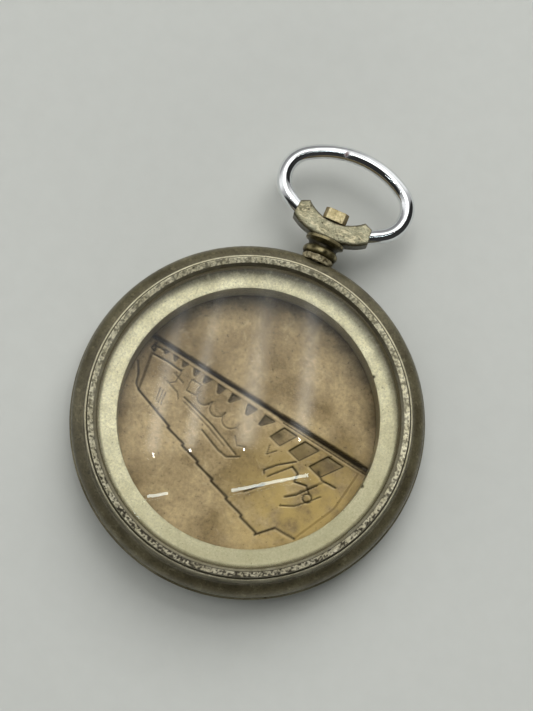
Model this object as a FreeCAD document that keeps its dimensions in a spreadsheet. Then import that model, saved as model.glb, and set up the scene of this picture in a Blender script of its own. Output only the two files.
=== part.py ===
import FreeCAD, Part
import math
import os
import Sketcher

# An open-face pocket watch case with no movement, dial or crown in it: a snap-on back, a mid-case,
# a movement ring, a snap-on bezel with a domed crystal, and a pendant whose bow turns on a headed post.
# The origin is on the case's axis at the plane that the back rests on. +Z goes up through the crystal
# and +Y along the pendant to the bow. Every length is in millimetres.

SIZES = [
    # back cover
    ("case_radius", 25.0),       # outer radius, at the rim of the back
    ("back_height", 3.85),       # from the resting plane to the top of the back's rim
    ("back_edge_drop", 0.75),    # straight part of the rim, above the rounded edge
    ("back_wall", 0.9),          # wall at the rim
    ("back_edge_width", 4.4),    # how far the rounded edge reaches in from the rim
    ("foot_width", 1.7),         # flat ring that the case rests on
    ("floor_thickness", 0.9),
    ("relief_depth", 0.25),      # how far the stamped relief stands off its field
    ("relief_margin", 1.2),      # bare field round the relief
    # mid-case
    ("seam", 0.05),              # gap at each joint line between two shells
    ("band_step", 0.3),          # how far the mid-case stands in from the back's rim
    ("band_height", 3.2),        # mid-case, from the back's seam to the bezel's seam
    ("band_straight", 1.3),      # upright part of the band, below its rounded shoulder
    ("shoulder_width", 1.6),     # how far the shoulder comes in from the band
    ("bezel_step", 0.2),         # how far the bezel stands in from the shoulder
    ("spigot_fit", 0.03),        # radial clearance of a shell on its spigot
    ("back_spigot_wall", 1.0),
    ("bezel_spigot_wall", 0.78),
    ("bezel_spigot_height", 1.0),
    ("inner_step", 0.9),         # ledge in the mid-case that carries the movement ring
    # movement ring
    ("opening_radius", 18.15),   # clear opening for the movement
    ("ring_thickness", 0.8),     # both the flange and the skirt
    ("ring_fit", 0.05),          # radial clearance of the flange in the mid-case
    ("ring_above_band", 0.1),    # top of the flange over the top of the mid-case's shoulder
    ("skirt_gap", 0.4),          # from the floor of the back to the skirt's lower edge
    # bezel and crystal
    ("bezel_height", 3.0),
    ("bezel_lean", 0.3),         # how far the outer side leans in over its height
    ("bezel_wall", 0.89),        # outer side to spigot bore, at the foot of the bezel
    ("bezel_lip_height", 0.9),   # from the small outer lip to the top of the band
    ("bezel_lip_radius", 0.12),
    ("bezel_groove_width", 0.35),
    ("bezel_groove_depth", 0.4),
    ("bezel_band_width", 0.75),
    ("bezel_band_slope", 0.3),
    ("bezel_bevel", 0.4),
    ("crystal_ledge", 0.45),     # inner shoulder below the crystal
    ("crystal_seat_depth", 0.5), # how far the crystal's edge goes in under the lip
    ("crystal_edge", 0.74),      # thickness of the crystal's flange
    ("crystal_fit", 0.03),
    ("crystal_gap", 0.15),       # radial gap between the dome and the bezel's lip
    ("crystal_rise", 3.1),       # dome, above its flange
    ("crystal_thickness", 1.0),
    # pendant
    ("pendant_rise", 1.4),       # axis of the pendant over the foot of the band
    ("pendant_gap", 0.15),       # from the rim of the back to the bead on the neck
    ("stub_radius", 1.35),       # where the neck goes into the mid-case
    ("stub_fit", 0.01),
    ("stub_shoulder", 0.15),     # metal between the stub's end and the movement ring's seat
    ("bead_radius", 2.6),
    ("bead_side_radius", 2.25),
    ("bead_width", 1.25),
    ("waist_radius", 2.15),
    ("waist_width", 0.35),
    ("cup_radius", 2.85),
    ("cup_flare", 0.6),
    ("cup_rim", 0.45),
    ("solder_radius", 2.45),
    ("solder_length", 0.95),
    ("solder_taper", 0.25),
    # post through the saddle
    ("post_radius", 0.95),
    ("post_running_fit", 0.05),  # radial clearance of the post in the neck
    ("post_hole_fit", 0.02),     # radial clearance of the post in the saddle
    ("peened_step", 0.17),       # how far the post's peened inner end, which holds it in, stands out
    ("peened_length", 0.3),
    ("head_width", 3.5),
    ("head_corner", 0.5),
    ("head_height", 1.65),
    ("end_play", 0.05),          # between the neck's cup and the saddle, and under the head
    # saddle and bow
    ("saddle_thickness", 3.3),
    ("saddle_flat", 1.2),        # half width of the flat underside
    ("saddle_middle", 2.65),     # height over the middle
    ("saddle_reach", 5.7),       # half length, at the lower corners
    ("saddle_end_low", 1.5),
    ("saddle_end_lean", 0.25),
    ("saddle_end_high", 3.75),
    ("saddle_tip", 4.25),        # half width between the tips of the arms
    ("saddle_tip_high", 4.3),
    ("saddle_edge", 0.5),        # rounding along the long edges
    ("bow_half_width", 9.2),     # half axes of the wire's centre line
    ("bow_half_height", 5.62),
    ("bow_side_radius", 4.1),
    ("bow_wire_radius", 1.05),
    ("bow_hole_fit", 0.02),
    ("bow_seat", 1.79),          # wire's centre line over the saddle's underside, at the middle
    ("bow_end", 3.3),            # half distance between the wire's two ends
]

# The stamped relief's outline, as shares of the relief's radius, round from its upper left corner.
RELIEF_OUTLINE = [
    (-0.93, 0.33),
    (-0.90, -0.10),
    (-0.56, -0.28),
    (0.06, -0.61),
    (0.22, -0.68),
    (0.41, -0.785),
    (0.53, -0.68),
    (0.70, -0.70),
    (0.90, -0.36),
    (0.98, 0.03),
]

doc = FreeCAD.newDocument("watch_case")
sheet = doc.addObject("Spreadsheet::Sheet", "sizes")
for row, (alias, number) in enumerate(SIZES, start=1):
    sheet.set(f"A{row}", alias)
    sheet.set(f"B{row}", str(number))
    sheet.setAlias(f"B{row}", alias)
doc.recompute()


ALIASES = {alias for alias, number in SIZES}


def named(expression):
    """The expression with each of the sheet's names given its full path."""
    words = expression.replace("(", " ( ").replace(")", " ) ").split()
    return " ".join("sizes." + word if word in ALIASES else word for word in words)


def size(expression):
    """The value of an expression of the sheet's names, worked out in a spare cell of the sheet."""
    sheet.set("D1", "=" + expression)
    sheet.recompute()
    return float(sheet.get("D1"))


# Places that several pieces share, as expressions of the sheet's names.
FLOOR_TOP = "( relief_depth + floor_thickness )"
FIELD_RADIUS = "( case_radius - back_edge_width - foot_width )"
RELIEF_RADIUS = f"( {FIELD_RADIUS} - relief_margin )"
BACK_BORE = "( case_radius - back_wall )"
EDGE_TOP = "( back_height - back_edge_drop )"
BAND_BASE = "( back_height + seam )"
BAND_TOP = f"( {BAND_BASE} + band_height )"
BAND_RADIUS = "( case_radius - band_step )"
SHOULDER_RADIUS = f"( {BAND_RADIUS} - shoulder_width )"
BEZEL_BASE = f"( {BAND_TOP} + seam )"
BEZEL_RADIUS = f"( {SHOULDER_RADIUS} - bezel_step )"
BEZEL_BORE = f"( {BEZEL_RADIUS} - bezel_wall )"
BEZEL_TOP = f"( {BEZEL_BASE} + bezel_height )"
RING_SEAT_RADIUS = f"( {BEZEL_BORE} - spigot_fit - bezel_spigot_wall )"
RING_TOP = f"( {BAND_TOP} + ring_above_band )"
RING_SEAT = f"( {RING_TOP} - ring_thickness )"
CASE_BORE = f"( {RING_SEAT_RADIUS} - inner_step )"
SPIGOT_TOP = f"( {BAND_TOP} + bezel_spigot_height )"
LEDGE_BASE = f"( {SPIGOT_TOP} + seam )"
CRYSTAL_BASE = f"( {LEDGE_BASE} + crystal_ledge )"
CRYSTAL_FLANGE = f"( {CRYSTAL_BASE} + crystal_fit + crystal_edge )"
LIP_BASE = f"( {CRYSTAL_FLANGE} + crystal_fit )"
TOP_RADIUS = f"( {BEZEL_RADIUS} - bezel_lean - bezel_lip_radius - bezel_groove_width )"
BEVEL_RADIUS = f"( {TOP_RADIUS} - bezel_band_width )"
LIP_RADIUS = f"( {BEVEL_RADIUS} - bezel_bevel )"
PENDANT_HEIGHT = f"( {BAND_BASE} + pendant_rise )"
STUB_START = f"( {RING_SEAT_RADIUS} + stub_shoulder )"
BEAD_START = "( case_radius + pendant_gap )"
BEAD_END = f"( {BEAD_START} + bead_width )"
CUP_START = f"( {BEAD_END} + waist_width )"
CUP_SEAT = f"( {CUP_START} + cup_flare + cup_rim )"
SADDLE_BASE = f"( {CUP_SEAT} + end_play )"
HEAD_SEAT = f"( {SADDLE_BASE} + saddle_middle + end_play )"
POST_START = f"( {STUB_START} + end_play )"
PEENED_RADIUS = "( post_radius + peened_step )"
BOW_BOTTOM = f"( {SADDLE_BASE} + bow_seat )"
BOW_CENTRE = f"( {BOW_BOTTOM} + bow_half_height )"


def plane(body, role):
    """One of a body's own origin planes."""
    return next(o for o in body.Origin.OriginFeatures if o.Role == role)


def new_body(label, placed_at=None):
    """An empty body with its label and, where it has one, the expression of its place."""
    body = doc.addObject("PartDesign::Body", label)
    body.Label = label
    for axis, expression in (placed_at or {}).items():
        body.setExpression(f"Placement.Base.{axis}", named(expression))
    return body


def new_sketch(body, name, role, offset=None):
    """A sketch on a body's origin plane, lifted along the plane's normal by an expression."""
    sketch = body.newObject("Sketcher::SketchObject", name)
    sketch.AttachmentSupport = [(plane(body, role), "")]
    sketch.MapMode = "FlatFace"
    if offset:
        sketch.setExpression("AttachmentOffset.Base.z", named(offset))
    return sketch


def arc_between(start, end, radius, side):
    """An arc from start to end; side is 1 if it bulges to the right of that direction, else -1."""
    chord = FreeCAD.Vector(*end, 0) - FreeCAD.Vector(*start, 0)
    middle = (FreeCAD.Vector(*start, 0) + FreeCAD.Vector(*end, 0)) / 2
    right = FreeCAD.Vector(chord.y, -chord.x, 0).normalize()
    centre = middle - right * side * math.sqrt(radius**2 - (chord.Length / 2) ** 2)
    first, last = (start, end) if side > 0 else (end, start)
    angles = [math.atan2(y - centre.y, x - centre.x) for x, y in (first, last)]
    circle = Part.Circle(centre, FreeCAD.Vector(0, 0, 1), radius)
    return Part.ArcOfCircle(circle, angles[0], angles[1])


def outline(sketch, points, arcs=None):
    """Draw a closed outline through points, each a pair of expressions.

    arcs gives, for the edge that leaves a point, the arc's radius as an expression and its side.
    """
    arcs = arcs or {}
    places = [(size(x), size(y)) for x, y in points]
    ends = []
    for i, start in enumerate(places):
        end = places[(i + 1) % len(places)]
        if i in arcs:
            radius, side = arcs[i]
            edge = sketch.addGeometry(arc_between(start, end, size(radius), side))
            ends.append((edge, (1, 2) if side > 0 else (2, 1)))
            index = sketch.addConstraint(Sketcher.Constraint("Radius", edge, size(radius)))
            sketch.setExpression(f"Constraints[{index}]", named(radius))
        else:
            line = Part.LineSegment(FreeCAD.Vector(*start, 0), FreeCAD.Vector(*end, 0))
            ends.append((sketch.addGeometry(line), (1, 2)))
    for i, (edge, (first, last)) in enumerate(ends):
        following, (its_first, its_last) = ends[(i + 1) % len(ends)]
        sketch.addConstraint(Sketcher.Constraint("Coincident", edge, last, following, its_first))
    for i, (edge, (first, last)) in enumerate(ends):
        for kind, expression, value in zip(("DistanceX", "DistanceY"), points[i], places[i]):
            index = sketch.addConstraint(Sketcher.Constraint(kind, edge, first, value))
            sketch.setExpression(f"Constraints[{index}]", named(expression))


def turned(body, name, role, axis, points, arcs=None):
    """A full turn of an outline about one of its sketch's axes."""
    sketch = new_sketch(body, name + "_profile", role)
    outline(sketch, points, arcs)
    feature = body.newObject("PartDesign::Revolution", name)
    feature.Profile = sketch
    feature.ReferenceAxis = (sketch, [axis])
    feature.Angle = 360
    sketch.Visibility = False
    return feature


def circle_sketch(body, name, role, radius, centre=("0", "0"), offset=None):
    """A sketch that holds one circle."""
    sketch = new_sketch(body, name, role, offset)
    place = FreeCAD.Vector(size(centre[0]), size(centre[1]), 0)
    edge = sketch.addGeometry(Part.Circle(place, FreeCAD.Vector(0, 0, 1), size(radius)))
    index = sketch.addConstraint(Sketcher.Constraint("Radius", edge, size(radius)))
    sketch.setExpression(f"Constraints[{index}]", named(radius))
    for kind, expression in zip(("DistanceX", "DistanceY"), centre):
        index = sketch.addConstraint(Sketcher.Constraint(kind, edge, 3, size(expression)))
        sketch.setExpression(f"Constraints[{index}]", named(expression))
    return sketch


def rise_radius(half_width, rise):
    """The radius of an arc that is level at its middle and rises by this much at half_width."""
    return f"( ( {half_width} ) ^ 2 + ( {rise} ) ^ 2 ) / ( 2 * ( {rise} ) )"


# ---- case shells ----

def make_back_cover():
    """A shallow stamped cup. Its relief stands out below and is sunk on the inside."""
    body = new_body("back_cover")
    inner_edge_width = "( back_edge_width - back_wall )"
    turned(
        body, "back_shell", "XZ_Plane", "V_Axis",
        [
            ("0", "relief_depth"),
            (f"{FIELD_RADIUS} - relief_depth", "relief_depth"),
            (FIELD_RADIUS, "0"),
            ("case_radius - back_edge_width", "0"),
            ("case_radius", EDGE_TOP),
            ("case_radius", "back_height"),
            (BACK_BORE, "back_height"),
            (BACK_BORE, EDGE_TOP),
            ("case_radius - back_edge_width", FLOOR_TOP),
            ("0", FLOOR_TOP),
        ],
        {
            3: (rise_radius("back_edge_width", EDGE_TOP), 1),
            7: (rise_radius(inner_edge_width, f"{EDGE_TOP} - {FLOOR_TOP}"), -1),
        },
    )
    points = [(f"{x} * {RELIEF_RADIUS}", f"{y} * {RELIEF_RADIUS}") for x, y in RELIEF_OUTLINE]
    raised = new_sketch(body, "relief_outside", "XY_Plane")
    outline(raised, points)
    pad = body.newObject("PartDesign::Pad", "relief_pad")
    pad.Profile = raised
    pad.setExpression("Length", named("relief_depth + floor_thickness / 2"))
    sunk = new_sketch(body, "relief_inside", "XY_Plane", FLOOR_TOP)
    outline(sunk, points)
    pocket = body.newObject("PartDesign::Pocket", "relief_pocket")
    pocket.Profile = sunk
    pocket.setExpression("Length", named("relief_depth"))
    return body


def make_mid_case():
    """The ring that holds everything: a spigot below for the back and one above for the bezel."""
    body = new_body("mid_case")
    back_spigot = f"( {BACK_BORE} - spigot_fit )"
    turned(
        body, "mid_case_ring", "XZ_Plane", "V_Axis",
        [
            (CASE_BORE, BAND_BASE),
            (f"{back_spigot} - back_spigot_wall", BAND_BASE),
            (f"{back_spigot} - back_spigot_wall", f"{EDGE_TOP} + seam"),
            (back_spigot, f"{EDGE_TOP} + seam"),
            (back_spigot, BAND_BASE),
            (BAND_RADIUS, BAND_BASE),
            (BAND_RADIUS, f"{BAND_BASE} + band_straight"),
            (SHOULDER_RADIUS, BAND_TOP),
            (f"{BEZEL_BORE} - spigot_fit", BAND_TOP),
            (f"{BEZEL_BORE} - spigot_fit", SPIGOT_TOP),
            (RING_SEAT_RADIUS, SPIGOT_TOP),
            (RING_SEAT_RADIUS, RING_SEAT),
            (CASE_BORE, RING_SEAT),
        ],
        {6: (rise_radius("( band_height - band_straight )", "shoulder_width"), 1)},
    )
    # The XZ plane's normal points along -Y, so the sketch's offset is the negative of its place.
    circle = circle_sketch(
        body, "stub_circle", "XZ_Plane", "stub_radius + stub_fit", ("0", PENDANT_HEIGHT), "0 - case_radius"
    )
    pocket = body.newObject("PartDesign::Pocket", "stub_hole")
    pocket.Profile = circle
    pocket.Reversed = True
    pocket.setExpression("Length", named(f"case_radius - {STUB_START}"))
    return body


def make_movement_ring():
    """An L-section ring: a flat flange that the dial lies on and a skirt round the movement."""
    body = new_body("movement_ring")
    skirt_radius = "opening_radius + ring_thickness"
    turned(
        body, "movement_ring_shell", "XZ_Plane", "V_Axis",
        [
            ("opening_radius", f"{FLOOR_TOP} + skirt_gap"),
            (skirt_radius, f"{FLOOR_TOP} + skirt_gap"),
            (skirt_radius, RING_SEAT),
            (f"{RING_SEAT_RADIUS} - ring_fit", RING_SEAT),
            (f"{RING_SEAT_RADIUS} - ring_fit", RING_TOP),
            ("opening_radius", RING_TOP),
        ],
    )
    return body


def make_bezel():
    """The snap-on bezel: a leaning side, a small lip, a groove and a sloping top band."""
    body = new_body("bezel")
    lip_height = f"{BEZEL_TOP} - bezel_lip_height"
    lip_outer = f"{BEZEL_RADIUS} - bezel_lean"
    turned(
        body, "bezel_ring", "XZ_Plane", "V_Axis",
        [
            (BEZEL_BORE, BEZEL_BASE),
            (BEZEL_RADIUS, BEZEL_BASE),
            (lip_outer, f"{lip_height} - bezel_lip_radius"),
            (f"{lip_outer} - bezel_lip_radius", lip_height),
            (TOP_RADIUS, f"{lip_height} - bezel_groove_depth / 4"),
            (TOP_RADIUS, BEZEL_TOP),
            (BEVEL_RADIUS, f"{BEZEL_TOP} - bezel_band_slope"),
            (LIP_RADIUS, LIP_BASE),
            (f"{LIP_RADIUS} + crystal_seat_depth", LIP_BASE),
            (f"{LIP_RADIUS} + crystal_seat_depth", CRYSTAL_BASE),
            (LIP_RADIUS, CRYSTAL_BASE),
            (LIP_RADIUS, LEDGE_BASE),
            (BEZEL_BORE, LEDGE_BASE),
        ],
        {2: ("bezel_lip_radius", 1)},
    )
    return body


def make_crystal():
    """A domed disc with a flat flange that is held in the bezel's groove."""
    body = new_body("crystal")
    dome_radius = f"( {LIP_RADIUS} - crystal_gap )"
    under_radius = f"( {dome_radius} - crystal_thickness / 2 )"
    base = f"( {CRYSTAL_BASE} + crystal_fit )"
    rise_inside = "( crystal_rise + crystal_edge - crystal_thickness )"
    turned(
        body, "crystal_dome", "XZ_Plane", "V_Axis",
        [
            ("0", f"{base} + {rise_inside}"),
            (under_radius, base),
            (f"{LIP_RADIUS} + crystal_seat_depth - crystal_fit", base),
            (f"{LIP_RADIUS} + crystal_seat_depth - crystal_fit", CRYSTAL_FLANGE),
            (dome_radius, CRYSTAL_FLANGE),
            ("0", f"{CRYSTAL_FLANGE} + crystal_rise"),
        ],
        {
            0: (rise_radius(under_radius, rise_inside), -1),
            4: (rise_radius(dome_radius, "crystal_rise"), 1),
        },
    )
    return body


# ---- pendant ----
# These are drawn about an axis along Y through their own origin, which lies at the pendant's height.

PENDANT_PLACE = {"z": PENDANT_HEIGHT}


def make_pendant_neck():
    """The neck: a stub into the mid-case, a bead, a waist and a cup that the saddle turns on."""
    body = new_body("pendant_neck", PENDANT_PLACE)
    bore = "post_radius + post_running_fit"
    counterbore = f"{PEENED_RADIUS} + post_running_fit"
    counterbore_end = f"{POST_START} + peened_length + end_play"
    bead_arc = rise_radius("bead_width / 2", "bead_radius - bead_side_radius")
    turned(
        body, "neck", "YZ_Plane", "H_Axis",
        [
            (STUB_START, counterbore),
            (STUB_START, "stub_radius"),
            (BEAD_START, "stub_radius"),
            (BEAD_START, "bead_side_radius"),
            (BEAD_END, "bead_side_radius"),
            (BEAD_END, "waist_radius"),
            (CUP_START, "waist_radius"),
            (f"{CUP_START} + cup_flare", "cup_radius"),
            (CUP_SEAT, "cup_radius"),
            (CUP_SEAT, bore),
            (counterbore_end, bore),
            (counterbore_end, counterbore),
        ],
        {3: (bead_arc, -1), 6: ("cup_flare * 1.5", 1)},
    )
    return body


def make_solder_fillet(mid_case):
    """The solder round the neck's foot, shaped by the shoulder that it lies on."""
    blank = new_body("solder_blank", PENDANT_PLACE)
    turned(
        blank, "solder_collar", "YZ_Plane", "H_Axis",
        [
            (f"{BEAD_START} - solder_length", "stub_radius + stub_fit"),
            (f"{BEAD_START} - solder_length", "solder_radius - solder_taper"),
            (BEAD_START, "solder_radius"),
            (BEAD_START, "stub_radius + stub_fit"),
        ],
    )
    below = doc.addObject("Part::Box", "space_of_the_back")
    for name, expression in (
        ("Length", "4 * solder_radius"),
        ("Width", "2 * solder_radius"),
        ("Height", BAND_BASE),
        ("Placement.Base.x", "-2 * solder_radius"),
        ("Placement.Base.y", "case_radius - solder_radius"),
    ):
        below.setExpression(name, named(expression))
    on_band = doc.addObject("Part::Cut", "solder_on_band")
    on_band.Base = blank
    on_band.Tool = mid_case
    fillet = doc.addObject("Part::Cut", "solder_fillet")
    fillet.Base = on_band
    fillet.Tool = below
    fillet.Label = "solder_fillet"
    return fillet


def make_pendant_post():
    """The post that holds the saddle, with a square head and a peened inner end."""
    body = new_body("pendant_post", PENDANT_PLACE)
    turned(
        body, "post_tube", "YZ_Plane", "H_Axis",
        [
            (POST_START, "0"),
            (POST_START, PEENED_RADIUS),
            (f"{POST_START} + peened_length", PEENED_RADIUS),
            (f"{POST_START} + peened_length", "post_radius"),
            (HEAD_SEAT, "post_radius"),
            (HEAD_SEAT, "0"),
        ],
    )
    half = "head_width / 2"
    cut = "( head_width / 2 - head_corner )"
    corners = [
        (half, f"-1 * {cut}"), (half, cut),
        (cut, half), (f"-1 * {cut}", half),
        (f"-1 * {half}", cut), (f"-1 * {half}", f"-1 * {cut}"),
        (f"-1 * {cut}", f"-1 * {half}"), (cut, f"-1 * {half}"),
    ]
    sketch = new_sketch(body, "head_square", "XZ_Plane", f"0 - {HEAD_SEAT}")
    outline(sketch, corners)
    pad = body.newObject("PartDesign::Pad", "post_head")
    pad.Profile = sketch
    pad.Reversed = True
    pad.setExpression("Length", named("head_height"))
    return body


def bow_wire(label, wire_radius, end):
    """A round wire along the bow's oval, open between its two ends: four tangent arcs, then a sweep."""
    a, b, side = size("bow_half_width"), size("bow_half_height"), size("bow_side_radius")
    long_radius = (a * a + b * b - 2 * a * side) / (2 * (b - side))
    centre_y = size(BOW_CENTRE)
    low, high = centre_y + long_radius - b, centre_y - long_radius + b
    # The long arcs meet the side arcs on the line through both of their centres.
    turn = math.atan2(a - side, long_radius - b)
    join_x, join_y = long_radius * math.sin(turn), long_radius * math.cos(turn)

    def on_low_arc(x):
        return FreeCAD.Vector(x, low - math.sqrt(long_radius**2 - x * x), 0)

    def arc(*places):
        return Part.Arc(*[FreeCAD.Vector(x, y, 0) for x, y, z in places]).toShape()

    right_low, right_high = FreeCAD.Vector(join_x, low - join_y, 0), FreeCAD.Vector(join_x, high + join_y, 0)
    left_low, left_high = FreeCAD.Vector(-join_x, low - join_y, 0), FreeCAD.Vector(-join_x, high + join_y, 0)
    halfway = (end + join_x) / 2
    path = Part.Wire([
        arc(on_low_arc(end), on_low_arc(halfway), right_low),
        arc(right_low, FreeCAD.Vector(a, centre_y, 0), right_high),
        arc(right_high, FreeCAD.Vector(0, centre_y + b, 0), left_high),
        arc(left_high, FreeCAD.Vector(-a, centre_y, 0), left_low),
        arc(left_low, on_low_arc(-halfway), on_low_arc(-end)),
    ])
    start = on_low_arc(end)
    slope = FreeCAD.Vector(start.y - low, -start.x, 0).normalize()
    section = Part.Wire(Part.Circle(start, slope, wire_radius).toShape())
    wire = doc.addObject("Part::Feature", label)
    wire.Label = label
    wire.Shape = path.makePipeShell([section], True, False)
    wire.Placement = FreeCAD.Placement(FreeCAD.Vector(0, 0, size(PENDANT_HEIGHT)), FreeCAD.Rotation())
    return wire


def make_bow_saddle():
    """The crescent that both ends of the bow are sprung into, bored through for the post."""
    body = new_body("saddle_blank", {"y": SADDLE_BASE, "z": PENDANT_HEIGHT})
    corners = [
        ("-1 * saddle_flat", "0"),
        ("saddle_flat", "0"),
        ("saddle_reach", "saddle_end_low"),
        ("saddle_reach - saddle_end_lean", "saddle_end_high"),
        ("saddle_tip", "saddle_tip_high"),
        ("-1 * saddle_tip", "saddle_tip_high"),
        ("-1 * saddle_reach + saddle_end_lean", "saddle_end_high"),
        ("-1 * saddle_reach", "saddle_end_low"),
    ]
    hollow = rise_radius("saddle_tip", "saddle_tip_high - saddle_middle")
    under = rise_radius("( saddle_reach - saddle_flat )", "saddle_end_low")
    arcs = {1: (under, 1), 4: (hollow, -1), 7: (under, 1)}
    sketch = new_sketch(body, "saddle_outline", "XY_Plane")
    outline(sketch, corners, arcs)
    pad = body.newObject("PartDesign::Pad", "saddle_pad")
    pad.Profile = sketch
    pad.Midplane = True
    pad.setExpression("Length", named("saddle_thickness"))
    doc.recompute()
    half = size("saddle_thickness") / 2
    long_edges = []
    for number, edge in enumerate(pad.Shape.Edges, start=1):
        box = edge.BoundBox
        in_face = box.ZLength < 0.001 and abs(abs(box.ZMax) - half) < 0.001
        if in_face and box.XLength > size("saddle_end_lean") + 0.001:
            long_edges.append(f"Edge{number}")
    fillet = body.newObject("PartDesign::Fillet", "saddle_edges")
    fillet.Base = (pad, long_edges)
    fillet.setExpression("Radius", named("saddle_edge"))
    hole = circle_sketch(body, "saddle_hole_circle", "XZ_Plane", "post_radius + post_hole_fit")
    half_slot = "( head_width / 2 + end_play )"
    slot = new_sketch(body, "head_slot_outline", "XY_Plane")
    outline(slot, [
        (f"-1 * {half_slot}", "saddle_middle"), (half_slot, "saddle_middle"),
        (half_slot, "saddle_tip_high"), (f"-1 * {half_slot}", "saddle_tip_high"),
    ])
    for name, profile in (("saddle_hole", hole), ("head_slot", slot)):
        pocket = body.newObject("PartDesign::Pocket", name)
        pocket.Profile = profile
        pocket.Type = "ThroughAll"
        pocket.Midplane = True
    socket_radius = size("bow_wire_radius + bow_hole_fit")
    sockets = bow_wire("bow_sockets", socket_radius, size("bow_end - end_play"))
    saddle = doc.addObject("Part::Cut", "bow_saddle")
    saddle.Base = body
    saddle.Tool = sockets
    saddle.Label = "bow_saddle"
    return saddle


mid_case = make_mid_case()
parts = [
    make_back_cover(),
    mid_case,
    make_movement_ring(),
    make_bezel(),
    make_crystal(),
    make_pendant_neck(),
    make_solder_fillet(mid_case),
    make_pendant_post(),
    make_bow_saddle(),
    bow_wire("bow", size("bow_wire_radius"), size("bow_end")),
]
doc.recompute()

failed = [o.Name for o in doc.Objects if "Invalid" in o.State or "Error" in o.State]
if failed:
    raise RuntimeError("these objects failed: " + ", ".join(failed))
for part in parts:
    if part.Shape.isNull() or not part.Shape.isValid() or not part.Shape.Solids:
        raise RuntimeError(part.Label + " has no valid solid")

os.makedirs("parts", exist_ok=True)
for part in parts:
    part.Shape.exportStep(f"parts/{part.Label}.step")
    box = part.Shape.optimalBoundingBox(True, False)
    print(
        f"{part.Label}: volume {part.Shape.Volume:.2f} mm3,",
        f"x {box.XMin:.2f} to {box.XMax:.2f},",
        f"y {box.YMin:.2f} to {box.YMax:.2f},",
        f"z {box.ZMin:.2f} to {box.ZMax:.2f}",
    )
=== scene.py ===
import math

import bmesh
import bpy
import numpy as np
from mathutils import Matrix, Vector


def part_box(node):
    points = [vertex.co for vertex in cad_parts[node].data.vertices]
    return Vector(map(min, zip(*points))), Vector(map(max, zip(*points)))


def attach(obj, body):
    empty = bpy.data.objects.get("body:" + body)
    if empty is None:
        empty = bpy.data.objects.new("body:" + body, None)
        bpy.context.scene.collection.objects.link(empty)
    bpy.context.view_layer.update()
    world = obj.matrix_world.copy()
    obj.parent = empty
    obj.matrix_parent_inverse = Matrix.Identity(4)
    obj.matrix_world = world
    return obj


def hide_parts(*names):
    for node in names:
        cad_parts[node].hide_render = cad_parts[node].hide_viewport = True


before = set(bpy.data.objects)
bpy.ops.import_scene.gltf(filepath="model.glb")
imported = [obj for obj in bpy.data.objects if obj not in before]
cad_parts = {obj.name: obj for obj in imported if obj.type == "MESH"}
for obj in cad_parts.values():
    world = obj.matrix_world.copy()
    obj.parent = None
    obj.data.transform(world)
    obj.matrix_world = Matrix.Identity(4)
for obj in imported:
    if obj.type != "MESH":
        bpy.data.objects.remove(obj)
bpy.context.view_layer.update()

# An empty open-face pocket watch case lying on its back. Lengths are in metres in the frame's own
# axes: +Z up through the crystal, +Y along the pendant, the origin where the back rests.

MM = 0.001

# ---- sizes ----
# Taken from the frame where a node's box gives them, and named here where it doesn't.
BACK_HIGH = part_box("back_cover")[1]
CASE_RADIUS = BACK_HIGH.x
BACK_HEIGHT = BACK_HIGH.z
BACK_WALL = 0.9 * MM
BACK_EDGE_DROP = 0.75 * MM
BACK_EDGE_WIDTH = 4.4 * MM
FOOT_WIDTH = 1.7 * MM
FLOOR_THICKNESS = 0.9 * MM
RELIEF_DEPTH = 0.25 * MM
RELIEF_MARGIN = 1.2 * MM
FOOT_OUTER = CASE_RADIUS - BACK_EDGE_WIDTH
FIELD_RADIUS = FOOT_OUTER - FOOT_WIDTH
RELIEF_RADIUS = FIELD_RADIUS - RELIEF_MARGIN
FLOOR_TOP = RELIEF_DEPTH + FLOOR_THICKNESS
EDGE_TOP = BACK_HEIGHT - BACK_EDGE_DROP

RING_LOW, RING_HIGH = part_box("movement_ring")
OPENING_RADIUS = 18.15 * MM
RING_THICKNESS = 0.8 * MM
RING_GRIME_AND_SHADE_RADIUS = 21.05 * MM
RING_DENTS = ((41.5, 0.3 * MM), (-8, 0.42 * MM))
RING_SHADE_TURN = 40

BEZEL_LOW, BEZEL_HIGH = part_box("bezel")
BEZEL_RADIUS = BEZEL_HIGH.y
BEZEL_BASE, BEZEL_TOP = BEZEL_LOW.z, BEZEL_HIGH.z
BEZEL_LEAN = 0.3 * MM
BEZEL_WALL = 0.89 * MM
BEZEL_LIP_HEIGHT = 0.9 * MM
BEZEL_LIP_RADIUS = 0.12 * MM
BEZEL_GROOVE_WIDTH = 0.35 * MM
BEZEL_GROOVE_DEPTH = 0.4 * MM
BEZEL_BAND_WIDTH = 0.75 * MM
BEZEL_BAND_SLOPE = 0.3 * MM
BEZEL_BEVEL = 0.4 * MM
BEZEL_SPIGOT = 1.0 * MM
BEZEL_SHADE_TURN = 15
CRYSTAL_LEDGE = 0.45 * MM
CRYSTAL_SEAT_DEPTH = 0.5 * MM
TOP_RADIUS = BEZEL_RADIUS - BEZEL_LEAN - BEZEL_LIP_RADIUS - BEZEL_GROOVE_WIDTH
BEVEL_RADIUS = TOP_RADIUS - BEZEL_BAND_WIDTH
LIP_RADIUS = BEVEL_RADIUS - BEZEL_BEVEL

CRYSTAL_LOW, CRYSTAL_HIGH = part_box("crystal")
CRYSTAL_EDGE = 0.74 * MM
CRYSTAL_FIT = 0.03 * MM
CRYSTAL_GAP = 0.15 * MM
CRYSTAL_THICKNESS = 1.0 * MM
LIP_BASE = CRYSTAL_LOW.z + CRYSTAL_EDGE + CRYSTAL_FIT

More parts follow.
